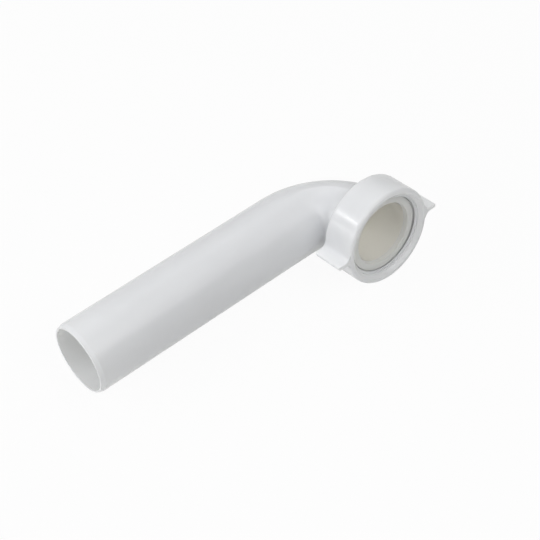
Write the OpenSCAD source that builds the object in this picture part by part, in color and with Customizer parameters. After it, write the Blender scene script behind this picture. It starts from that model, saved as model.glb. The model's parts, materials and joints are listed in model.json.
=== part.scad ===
// Angled drain connector: a swept elbow moulded in one piece, a winged coupling
// nut that turns on its neck, and a flat sealing washer on the neck's flange.
// Millimetres. The long leg lies along X with the middle of its plain end at the
// origin. The short leg leans up from level, the way the part comes to rest.

/* [Pipe] */
// Outside diameter of the pipe
pipe_d = 40; // [38:0.5:41]
// Wall thickness of the pipe
pipe_wall = 1.9; // [1.6:0.1:2.4]
// Long leg, from the corner where the two axes meet to the plain end
leg_l = 172; // [120:1:260]
// Straight part of the short leg, from the sweep's end to its end face
neck_run = 4.6; // [4:0.1:6]
// Radius of the outer sweep, to the middle of the pipe
sweep_r = 36; // [34:0.5:42]
// Radius of the tight inner corner
throat_r = 4; // [3:0.5:5]
// Length of the taper on the plain end
end_lead = 2.5; // [1:0.5:6]
// Depth of the taper on the plain end
end_cut = 0.9; // [0.4:0.1:1.2]

/* [Flange and washer] */
// How far the flange stands out from the neck
flange_w = 2; // [1.5:0.1:2.5]
// Thickness of the flange
flange_t = 3; // [2:0.5:3.5]
// Bevel on the flange's edges
flange_edge = 0.5; // [0.2:0.1:0.8]
// How far the sealing washer stands out past the flange
washer_over = 0.4; // [0.2:0.1:1]
// How much larger the washer's hole is than the pipe's bore, on the radius
washer_step = 0.3; // [0.1:0.1:0.8]
// Thickness of the washer
washer_t = 2.5; // [1.5:0.5:2.5]

/* [Nut] */
// Length of the nut
nut_l = 20.8; // [20:0.1:24]
// How far the nut is drawn back from the flange
nut_travel = 7.8; // [7:0.1:8.4]
// Thickness of the lip that turns on the neck
lip_t = 3; // [2:0.5:3.5]
// Clearance between the lip and the neck, on the radius
lip_gap = 0.3; // [0.2:0.05:0.4]
// Gap from the washer's edge to the root of the thread
thread_gap = 1.6; // [1.4:0.1:1.8]
// How much wider the nut is behind the washer's face, on the radius
room_step = 0.5; // [0.3:0.1:0.8]
// Width of the mouth's bevel, past the root of the thread
mouth_flare = 1.8; // [1:0.1:2]
// Depth of the mouth's bevel
mouth_lead = 1.8; // [1:0.1:2]
// Wall of the nut, past the root of the thread
nut_wall = 4.6; // [4:0.1:6]
// Rounding of the nut's front edge
rim_round = 1.8; // [1:0.1:1.9]
// Rounding of the nut's back edge
back_round = 2.4; // [1:0.1:2.6]

/* [Wings] */
// How far a wing stands out from the nut
wing_out = 7.6; // [6:0.2:12]
// Thickness of a wing
wing_t = 2; // [2:0.5:4]
// Gap from the rim to the front end of a wing
wing_front_gap = 0.4; // [0.2:0.2:4]
// Gap from the back face to the back end of a wing
wing_back_gap = 1.2; // [0.8:0.2:4]
// Rounding of a wing's corner at the rim
wing_front_corner = 0.5; // [0.3:0.1:4]
// Rounding of a wing's corner at the back face
wing_back_corner = 1.5; // [1:0.5:4]
// Rounding along a wing's tip
wing_edge = 0.6; // [0.3:0.1:0.9]
// Radius of the hollow where a wing grows out of the nut
wing_root = 3.5; // [2.5:0.5:5]

/* [Hidden] */
$fn = 120;
pipe_r = pipe_d / 2;
bore_r = pipe_r - pipe_wall;
corner_r = pipe_r + throat_r;       // inner sweep, to the middle of the pipe
corner_ease = 0.12;                 // fullness at the corner, so the two sweeps cross cleanly
neck_l = sweep_r + neck_run;        // short leg, from the corner to its end face
flange_r = pipe_r + flange_w;
washer_r = flange_r + washer_over;
washer_face = neck_l + washer_t;
thread_root_r = washer_r + thread_gap;
mouth_r = thread_root_r + mouth_flare;
nut_r = thread_root_r + nut_wall;
nut_back = neck_l - flange_t - nut_travel - lip_t;
lip_r = pipe_r + lip_gap;
lip_bevel = 0.6;
seat_start = nut_back + 0.5;        // the neck is a true cylinder from here to the flange
face_margin = 0.3;                  // the thread's root starts this far ahead of the washer's face
thread_start = washer_face + face_margin - nut_back;
wing_tip = nut_r + wing_out;
wing_foot = nut_r - 2;              // wings are rooted this deep, inside the nut's wall
root_z = wing_t / 2 + wing_root;    // middle of the hollow above a wing
root_x = sqrt(pow(nut_r + wing_root, 2) - pow(root_z, 2));
root_turn = asin(root_z / (nut_r + wing_root));
past = 1;                           // how far a cut runs past the face it opens
// The part leans on the pipe's underside and on the nut's back edge at once.
back_y = nut_back + back_round;
back_z = nut_r - back_round;
rest_tilt = acos((pipe_r - back_round) / norm([back_y, back_z])) - atan2(back_y, back_z);

// Lays the part down: corner at the origin in, plain end at the origin out.
module laid() {
  rotate([rest_tilt, 0, 0])
    translate([-leg_l, 0, 0])
      children();
}

// Stands a turned shape on the short leg's axis, a distance along from the corner.
module on_neck(along) {
  translate([0, along, 0])
    rotate([-90, 0, 0])
      children();
}

// Everything inside the outer wall of the bend, for a pipe of radius r.
module outer_sweep(r) {
  translate([sweep_r, sweep_r, 0])
    rotate([0, 0, 180])
      rotate_extrude(angle = 90)
        union() {
          translate([sweep_r, 0])
            circle(r = r);
          translate([0, -r])
            square([sweep_r, 2 * r]);
        }
}

// Start of a leg just past the tight corner, open on the outer side. It narrows
// from the corner's fullness to the leg's own radius r, so no step is left.
module leg_start(r) {
  run = sweep_r - corner_r;
  full_r = r + corner_ease;
  translate([corner_r, 0, 0])
    union() {
      rotate([0, 90, 0])
        cylinder(r1 = full_r, r2 = r - corner_ease * past / run, h = run + past);
      translate([0, -full_r - past, -full_r])
        cube([run + past, full_r + past, 2 * full_r]);
    }
}

// Everything outside the inner wall of the bend, for a pipe of radius r.
module inner_sweep(r) {
  full_r = r + corner_ease;
  union() {
    translate([corner_r, corner_r, 0])
      rotate([0, 0, 180])
        rotate_extrude(angle = 90)
          union() {
            translate([corner_r, 0])
              circle(r = full_r);
            translate([corner_r, -full_r])
              square([full_r + past, 2 * full_r]);
          }
    leg_start(r);
    mirror([1, -1, 0])
      leg_start(r);
  }
}

// Both legs and the bend as a solid rod, run on past each end by over.
module swept_rod(r, over = 0) {
  union() {
    intersection() {
      outer_sweep(r);
      inner_sweep(r);
    }
    translate([sweep_r, 0, 0])
      rotate([0, 90, 0])
        cylinder(r = r, h = leg_l - sweep_r + over);
    on_neck(sweep_r)
      cylinder(r = r, h = neck_run + over);
  }
}

// The flange's section, with both outer edges bevelled.
module flange_section() {
  polygon([
    [0, 0],
    [flange_r - flange_edge, 0],
    [flange_r, flange_edge],
    [flange_r, flange_t - flange_edge],
    [flange_r - flange_edge, flange_t],
    [0, flange_t]
  ]);
}

// The ring cut away to taper the plain end.
module end_taper() {
  translate([leg_l, 0, 0])
    rotate([0, -90, 0])
      rotate_extrude()
        polygon([
          [pipe_r - end_cut, -past],
          [pipe_r - end_cut, 0],
          [pipe_r, end_lead],
          [pipe_r + past, end_lead],
          [pipe_r + past, -past]
        ]);
}

module elbow_pipe() {
  color("white")
    laid()
      difference() {
        union() {
          swept_rod(pipe_r);
          on_neck(seat_start)
            cylinder(r = pipe_r, h = neck_l - seat_start);
          on_neck(neck_l - flange_t)
            rotate_extrude()
              flange_section();
        }
        swept_rod(bore_r, past);
        end_taper();
      }
}

module sealing_washer() {
  color("whitesmoke")
    laid()
      on_neck(neck_l)
        difference() {
          cylinder(r = washer_r, h = washer_t);
          translate([0, 0, -past])
            cylinder(r = bore_r + washer_step, h = washer_t + 2 * past);
        }
}

// Outside of the nut from its axis out, with both outer edges rounded.
module nut_outside() {
  union() {
    square([nut_r - back_round, nut_l - rim_round]);
    translate([0, back_round])
      square([nut_r, nut_l - back_round - rim_round]);
    translate([0, back_round])
      square([nut_r - rim_round, nut_l - back_round]);
    translate([nut_r - back_round, back_round])
      circle(r = back_round);
    translate([nut_r - rim_round, nut_l - rim_round])
      circle(r = rim_round);
  }
}

// The nut's hollow: lip, room round the washer, thread root and mouth bevel.
module nut_hollow() {
  polygon([
    [0, -past],
    [lip_r + lip_bevel, -past],
    [lip_r + lip_bevel, 0],
    [lip_r, lip_bevel],
    [lip_r, lip_t],
    [thread_root_r + room_step, lip_t],
    [thread_root_r + room_step, thread_start],
    [thread_root_r, thread_start],
    [thread_root_r, nut_l - mouth_lead],
    [mouth_r, nut_l],
    [mouth_r, nut_l + past],
    [0, nut_l + past]
  ]);
}

// A wing seen along the nut's axis: the plate, its rounded tip and a hollow root.
module wing_section() {
  tip_z = wing_t / 2 - wing_edge;
  union() {
    translate([wing_foot, -wing_t / 2])
      square([wing_tip - wing_edge - wing_foot, wing_t]);
    translate([wing_foot, -tip_z])
      square([wing_tip - wing_foot, 2 * tip_z]);
    for (side = [-1, 1]) {
      translate([wing_tip - wing_edge, side * tip_z])
        circle(r = wing_edge);
      difference() {
        polygon([
          [wing_foot, 0],
          [root_x, 0],
          [root_x, side * root_z],
          [nut_r * cos(root_turn), side * nut_r * sin(root_turn)],
          [wing_foot * cos(root_turn), side * wing_foot * sin(root_turn)]
        ]);
        translate([root_x, side * root_z])
          circle(r = wing_root);
      }
    }
  }
}

// A wing seen face on, from the nut's axis out.
module wing_face(length) {
  front = length - wing_front_corner;
  union() {
    square([wing_tip - wing_back_corner, front]);
    translate([0, wing_back_corner])
      square([wing_tip, front - wing_back_corner]);
    translate([0, wing_back_corner])
      square([wing_tip - wing_front_corner, length - wing_back_corner]);
    translate([wing_tip - wing_back_corner, wing_back_corner])
      circle(r = wing_back_corner);
    translate([wing_tip - wing_front_corner, front])
      circle(r = wing_front_corner);
  }
}

module wing() {
  length = nut_l - wing_front_gap - wing_back_gap;
  translate([0, 0, wing_back_gap])
    intersection() {
      linear_extrude(length)
        wing_section();
      rotate([90, 0, 0])
        translate([0, 0, -root_z - past])
          linear_extrude(2 * (root_z + past))
            wing_face(length);
    }
}

module wing_nut() {
  color("white")
    laid()
      on_neck(nut_back)
        union() {
          rotate_extrude()
            difference() {
              nut_outside();
              nut_hollow();
            }
          wing();
          mirror([1, 0, 0])
            wing();
        }
}

elbow_pipe();
wing_nut();
sealing_washer();
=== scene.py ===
"""Looks of the angled drain connector: white moulded plastic, the nut's thread and a plain pale studio."""

import json
import math

import bmesh
import bpy
from mathutils import Matrix, Vector


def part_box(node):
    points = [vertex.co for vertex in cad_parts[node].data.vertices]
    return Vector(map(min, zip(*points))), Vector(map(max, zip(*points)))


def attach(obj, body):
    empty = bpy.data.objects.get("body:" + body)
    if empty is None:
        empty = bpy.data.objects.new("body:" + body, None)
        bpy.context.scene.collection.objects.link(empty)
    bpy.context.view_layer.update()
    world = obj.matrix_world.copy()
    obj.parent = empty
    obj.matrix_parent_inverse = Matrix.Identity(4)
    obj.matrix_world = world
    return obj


# Colours are linear, and render about as they are written here.
PIPE_WHITE = (0.888, 0.905, 0.955, 1)
PIPE_SHADE = (0.863, 0.88, 0.928, 1)
NUT_WHITE = (0.94, 0.957, 0.998, 1)
NUT_SHADE = (0.915, 0.932, 0.972, 1)
# Painted light: a lighter, warmer colour on the neck bore's wall, in place of the light that comes through the
# wall.
BORE_PAINTED_LIGHT = (0.965, 0.945, 0.885, 1)
BORE_THROUGH = 0.1          # share of light that passes through the neck's wall
NECK_BORE = 0.0184          # just past the bore's radius, in metres
WASHER_WHITE = (0.94, 0.95, 0.94, 1)
WASHER_SHADE = (0.90, 0.91, 0.90, 1)

EDGE_SOFTNESS = 0.0005      # rounding of moulded edges that catches the light, in metres
SEEP_TINT = (0.96, 0.945, 0.87, 1)   # light that has come through a wall
FLOOR_GLOW = 0.94           # share of the floor that is plain white to the eye

# Lamps: aim, elevation and bearing in degrees, distance, width and power in watts.
MIDDLE = (-0.1, 0.01, 0.01)
MOUTH = (-0.172, 0.05, 0.012)
LAMPS = (
    (MIDDLE, 20, 356, 1.5, 0.78, 5.8),
    (MIDDLE, 33, 216, 1.5, 0.92, 1.2),
    (MIDDLE, 33, 252, 1.5, 0.92, 1.9),
    (MIDDLE, 33, 288, 1.5, 0.92, 0.8),
    (MIDDLE, 33, 324, 1.5, 0.92, 6.4),
    (MIDDLE, 60, 45, 1.5, 1.0, 1.3),
    (MIDDLE, 60, 90, 1.5, 1.0, 3.5),
    (MIDDLE, 60, 135, 1.5, 1.0, 4.4),
    (MIDDLE, 60, 225, 1.5, 1.0, 3.2),
    (MIDDLE, 22, 311, 1.5, 0.14, 0.6),
    (MIDDLE, 3, 321, 1.5, 0.16, 0.3),
    (MOUTH, 50, 62, 0.6, 0.36, 0.44),
)

# The nut's thread, in metres.
THREAD_PITCH = 0.002309
THREAD_TURNS = 6.0
THREAD_ROOT = 0.0250        # inside the nut's wall, so the ridge grows out of it
THREAD_CREST = 0.0228
THREAD_CREST_WIDTH = 0.0005
THREAD_ROOT_WIDTH = 0.0022
THREAD_FADE = 0.22          # share of a turn over which each end of the ridge fades out
THREAD_END_BACK = 0.0006    # from the mouth bevel back to the ridge's end
THREAD_END_ANGLE = math.radians(45)


def node_material(name):
    """An empty node material with a Principled shader wired to its output."""
    material = bpy.data.materials.new(name)
    material.use_nodes = True
    tree = material.node_tree
    tree.nodes.clear()
    output = tree.nodes.new("ShaderNodeOutputMaterial")
    shader = tree.nodes.new("ShaderNodeBsdfPrincipled")
    tree.links.new(shader.outputs["BSDF"], output.inputs["Surface"])
    return material, tree, shader


def noise(tree, where, scale, detail=2.0, roughness=0.5):
    """Noise in the object's own space. scale is in lumps to the metre."""
    node = tree.nodes.new("ShaderNodeTexNoise")
    node.inputs["Scale"].default_value = scale
    node.inputs["Detail"].default_value = detail
    node.inputs["Roughness"].default_value = roughness
    tree.links.new(where, node.inputs["Vector"])
    return node.outputs["Fac"]


def spread(tree, value, low, high, start=0.3, end=0.7):
    """Maps a noise value onto a range, with soft ends."""
    node = tree.nodes.new("ShaderNodeMapRange")
    node.interpolation_type = "SMOOTHSTEP"
    node.inputs["From Min"].default_value = start
    node.inputs["From Max"].default_value = end
    node.inputs["To Min"].default_value = low
    node.inputs["To Max"].default_value = high
    tree.links.new(value, node.inputs["Value"])
    return node.outputs["Result"]


def blend_colour(tree, share, first, second):
    node = tree.nodes.new("ShaderNodeMix")
    node.data_type = "RGBA"
    node.inputs["A"].default_value = first
    node.inputs["B"].default_value = second
    tree.links.new(share, node.inputs["Factor"])
    return node.outputs["Result"]


def bump(tree, height, distance, strength, under=None):
    node = tree.nodes.new("ShaderNodeBump")
    node.inputs["Distance"].default_value = distance
    node.inputs["Strength"].default_value = strength
    tree.links.new(height, node.inputs["Height"])
    if under is not None:
        tree.links.new(under, node.inputs["Normal"])
    return node.outputs["Normal"]


def vector_math(tree, operation, first, second):
    """A vector node that takes a socket and either a constant or nothing."""
    node = tree.nodes.new("ShaderNodeVectorMath")
    node.operation = operation
    tree.links.new(first, node.inputs[0])
    if second is not None:
        node.inputs[1].default_value = second
    return node.outputs["Value"] if operation in ("LENGTH", "DOT_PRODUCT") else node.outputs["Vector"]


def product(tree, first, second):
    node = tree.nodes.new("ShaderNodeMath")
    node.operation = "MULTIPLY"
    tree.links.new(first, node.inputs[0])
    tree.links.new(second, node.inputs[1])
    return node.outputs["Value"]


def in_the_neck(tree, spot, corner, out):
    """1 on the wall of the neck's bore, where light is painted into the colour, and 0 elsewhere on the pipe.
    spot is a Texture Coordinate node.
    """
    arm = vector_math(tree, "SUBTRACT", spot.outputs["Object"], corner)
    swing = vector_math(tree, "CROSS_PRODUCT", arm, out)
    inwards = vector_math(tree, "DOT_PRODUCT", vector_math(tree, "CROSS_PRODUCT", swing, out), None)
    tree.links.new(spot.outputs["Normal"], inwards.node.inputs[1])
    within = spread(tree, vector_math(tree, "LENGTH", swing, None), 1, 0, NECK_BORE, NECK_BORE + 0.0006)
    ahead = spread(tree, vector_math(tree, "DOT_PRODUCT", arm, out), 0, 1, -0.006, 0.008)
    facing = spread(tree, inwards, 0, 1, 0, 0.004)
    return product(tree, product(tree, within, ahead), facing)


def moulded(name, white, shade, rough, grain, through, neck=None):
    """Moulded plastic: faint flow marks in the colour, uneven gloss, long ripples and a fine skin. Given a neck,
    it also paints light into the neck bore's wall as a lighter, warmer colour.
    """
    material, tree, shader = node_material(name)
    spot = tree.nodes.new("ShaderNodeTexCoord")
    place = spot.outputs["Object"]
    stretch = tree.nodes.new("ShaderNodeMapping")
    stretch.inputs["Scale"].default_value = (0.3, 1, 1)
    tree.links.new(place, stretch.inputs["Vector"])
    flow = noise(tree, stretch.outputs["Vector"], 70, 3, 0.55)
    patches = noise(tree, place, 45, 2)
    skin = noise(tree, place, 2600, 2)
    ripple = noise(tree, stretch.outputs["Vector"], 110, 1)
    colour = blend_colour(tree, spread(tree, flow, 0, 1), white, shade)
    tree.links.new(spread(tree, patches, rough - 0.035, rough + 0.035), shader.inputs["Roughness"])
    softened = tree.nodes.new("ShaderNodeBevel")
    softened.samples = 6
    softened.inputs["Radius"].default_value = EDGE_SOFTNESS
    rippled = bump(tree, ripple, 0.0004, 0.10, softened.outputs["Normal"])
    tree.links.new(bump(tree, skin, 0.00002, grain, rippled), shader.inputs["Normal"])
    shader.inputs["IOR"].default_value = 1.49
    inner = tree.nodes.new("ShaderNodeBsdfTranslucent")
    inner.inputs["Color"].default_value = SEEP_TINT
    mix = tree.nodes.new("ShaderNodeMixShader")
    mix.inputs["Fac"].default_value = through
    # Painted light: the neck bore's wall gets a lighter, warmer colour that stands in for light coming through
    # the wall.
    if neck is not None:
        mask = in_the_neck(tree, spot, *neck)
        bore_painted_light = tree.nodes.new("ShaderNodeMix")
        bore_painted_light.data_type = "RGBA"
        bore_painted_light.inputs["B"].default_value = BORE_PAINTED_LIGHT
        tree.links.new(mask, bore_painted_light.inputs["Factor"])
        tree.links.new(colour, bore_painted_light.inputs["A"])
        colour = bore_painted_light.outputs["Result"]
        tree.links.new(spread(tree, mask, through, BORE_THROUGH, 0, 1), mix.inputs["Fac"])
    tree.links.new(colour, shader.inputs["Base Color"])
    tree.links.new(shader.outputs["BSDF"], mix.inputs[1])
    tree.links.new(inner.outputs["BSDF"], mix.inputs[2])
    tree.links.new(mix.outputs["Shader"], tree.nodes["Material Output"].inputs["Surface"])
    return material


def dress(node, material):
    """Gives a CAD node its material, adding a slot if it has none."""
    for place in node.material_slots:
        place.material = material
    if not node.material_slots:
        node.data.materials.append(material)


def thread_ridge(mount, material):
    """The nut's right-handed thread, as one ridge wound back from the mouth."""
    centre, out = Vector(mount["pos_m"]), Vector(mount["axis"]).normalized()
    side = Vector((1, 0, 0))
    up = side.cross(out)
    steps_a_turn = 120
    steps = int(THREAD_TURNS * steps_a_turn)
    mesh = bmesh.new()
    rings = []
    for i in range(steps + 1):
        turn = i / steps_a_turn
        angle = THREAD_END_ANGLE + 2 * math.pi * turn
        along = -THREAD_END_BACK - THREAD_PITCH * turn
        left = min(turn, THREAD_TURNS - turn) / THREAD_FADE
        grown = math.sin(min(left, 1) * math.pi / 2)
        crest = THREAD_ROOT + (THREAD_CREST - THREAD_ROOT) * max(grown, 0.02)
        shoulder = crest + 0.12 * (THREAD_ROOT - crest)
        section = [
            (THREAD_ROOT, -THREAD_ROOT_WIDTH / 2),
            (shoulder, -THREAD_CREST_WIDTH * 0.8),
            (crest, -THREAD_CREST_WIDTH / 2),
            (crest, THREAD_CREST_WIDTH / 2),
            (shoulder, THREAD_CREST_WIDTH * 0.8),
            (THREAD_ROOT, THREAD_ROOT_WIDTH / 2),
        ]
        ray = side * math.cos(angle) + up * math.sin(angle)
        rings.append([mesh.verts.new(centre + ray * r + out * (along + z)) for r, z in section])
    for first, second in zip(rings, rings[1:]):
        for a in range(len(first)):
            b = (a + 1) % len(first)
            mesh.faces.new((first[a], first[b], second[b], second[a]))
    mesh.faces.new(rings[0][::-1])
    mesh.faces.new(rings[-1])
    bmesh.ops.recalc_face_normals(mesh, faces=mesh.faces)
    data = bpy.data.meshes.new("nut_thread_ridge")
    mesh.to_mesh(data)
    mesh.free()
    data.polygons.foreach_set("use_smooth", [True] * len(data.polygons))
    data.materials.append(material)
    ridge = bpy.data.objects.new("nut_thread_ridge", data)
    bpy.context.scene.collection.objects.link(ridge)
    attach(ridge, "nut")
    return ridge


def seen_directly(tree):
    """1 for rays that come from the camera, a reflection or a see-through surface, and 0 for the light's own."""
    path = tree.nodes.new("ShaderNodeLightPath")
    value = path.outputs["Is Camera Ray"]
    for other in ("Is Glossy Ray", "Is Transmission Ray"):
        either = tree.nodes.new("ShaderNodeMath")
        either.operation = "MAXIMUM"
        tree.links.new(value, either.inputs[0])
        tree.links.new(path.outputs[other], either.inputs[1])
        value = either.outputs["Value"]
    return value


def studio_floor(height):
    """A pale floor that looks white to the camera and still takes the part's shadow."""
    mesh = bmesh.new()
    bmesh.ops.create_grid(mesh, x_segments=1, y_segments=1, size=4)
    data = bpy.data.meshes.new("studio_floor")
    mesh.to_mesh(data)
    mesh.free()
    material, tree, shader = node_material("studio_floor_white")
    shader.inputs["Base Color"].default_value = (0.86, 0.86, 0.86, 1)
    shader.inputs["Roughness"].default_value = 0.9
    shader.inputs["Specular IOR Level"].default_value = 0
    glow = tree.nodes.new("ShaderNodeEmission")
    mix = tree.nodes.new("ShaderNodeMixShader")
    share = tree.nodes.new("ShaderNodeMath")
    share.operation = "MULTIPLY"
    share.inputs[1].default_value = FLOOR_GLOW
    tree.links.new(seen_directly(tree), share.inputs[0])
    tree.links.new(share.outputs["Value"], mix.inputs["Fac"])
    tree.links.new(shader.outputs["BSDF"], mix.inputs[1])
    tree.links.new(glow.outputs["Emission"], mix.inputs[2])
    output = tree.nodes["Material Output"]
    tree.links.new(mix.outputs["Shader"], output.inputs["Surface"])
    material.cycles.emission_sampling = "NONE"
    data.materials.append(material)
    floor = bpy.data.objects.new("studio_floor", data)
    floor.location = (0, 0, height)
    bpy.context.scene.collection.objects.link(floor)


def panel(aim, elevation, bearing, distance, width, power):
    """A soft square lamp that faces a point from these angles."""
    data = bpy.data.lights.new("panel", "AREA")
    data.shape = "SQUARE"
    data.size = width
    data.energy = power
    lamp = bpy.data.objects.new("panel", data)
    level, turn = math.radians(elevation), math.radians(bearing)
    ray = Vector((math.cos(level) * math.cos(turn), math.cos(level) * math.sin(turn), math.sin(level)))
    lamp.location = Vector(aim) + ray * distance
    lamp.rotation_euler = (-ray).to_track_quat("-Z", "Y").to_euler()
    lamp.visible_camera = False
    bpy.context.scene.collection.objects.link(lamp)


def surroundings(strength):
    """A world that looks white, and lights the part with this strength."""
    world = bpy.data.worlds.new("studio")
    world.use_nodes = True
    tree = world.node_tree
    shade = tree.nodes["Background"]
    shade.inputs["Color"].default_value = (1, 1, 1, 1)
    level = tree.nodes.new("ShaderNodeMapRange")
    level.inputs["To Min"].default_value = strength
    level.inputs["To Max"].default_value = 1
    tree.links.new(seen_directly(tree), level.inputs["Value"])
    tree.links.new(level.outputs["Result"], shade.inputs["Strength"])
    bpy.context.scene.world = world


def camera(place, right, up, lens):
    """A camera at place whose picture has these directions to its right and up."""
    data = bpy.data.cameras.new("camera")
    data.lens = lens
    data.clip_start = 0.01
    data.clip_end = 20
    item = bpy.data.objects.new("camera", data)
    x = Vector(right).normalized()
    z = x.cross(Vector(up)).normalized()
    y = z.cross(x)
    item.matrix_world = Matrix.Translation(place) @ Matrix((x, y, z)).transposed().to_4x4()
    bpy.context.scene.collection.objects.link(item)
    bpy.context.scene.camera = item


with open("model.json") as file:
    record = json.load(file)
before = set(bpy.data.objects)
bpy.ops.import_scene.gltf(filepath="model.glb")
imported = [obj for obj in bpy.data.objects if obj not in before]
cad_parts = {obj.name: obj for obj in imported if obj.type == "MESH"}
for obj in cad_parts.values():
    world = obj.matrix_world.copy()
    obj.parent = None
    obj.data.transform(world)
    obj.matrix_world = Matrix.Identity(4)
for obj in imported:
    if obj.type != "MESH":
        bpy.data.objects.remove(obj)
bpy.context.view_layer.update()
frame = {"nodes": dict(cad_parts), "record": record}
mounts = {mount["name"]: mount for mount in frame["record"]["mounts"]}

corner, out = Vector(mounts["nut_thread"]["pos_m"]), Vector(mounts["nut_thread"]["axis"]).normalized()
corner = corner - out * corner.dot(out)
pipe_plastic = moulded("pipe_plastic", PIPE_WHITE, PIPE_SHADE, 0.2, 0.5, 0.27, (corner, out))
nut_plastic = moulded("nut_plastic", NUT_WHITE, NUT_SHADE, 0.18, 0.4, 0.25)
washer_rubber = moulded("washer_rubber", WASHER_WHITE, WASHER_SHADE, 0.55, 0.9, 0.25)
dress(frame["nodes"]["elbow_pipe"], pipe_plastic)
dress(frame["nodes"]["wing_nut"], nut_plastic)
dress(frame["nodes"]["sealing_washer"], washer_rubber)
thread_ridge(mounts["nut_thread"], nut_plastic)

studio_floor(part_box("elbow_pipe")[0].z)
surroundings(0)
for lamp in LAMPS:
    panel(*lamp)
camera(
    place=(0.20658, 0.31729, 0.586322),
    right=(-0.7524, 0.654364, 0.075503),
    up=(-0.492741, -0.63519, 0.594761),
    lens=91.363,
)
bpy.context.scene.view_settings.view_transform = "Standard"
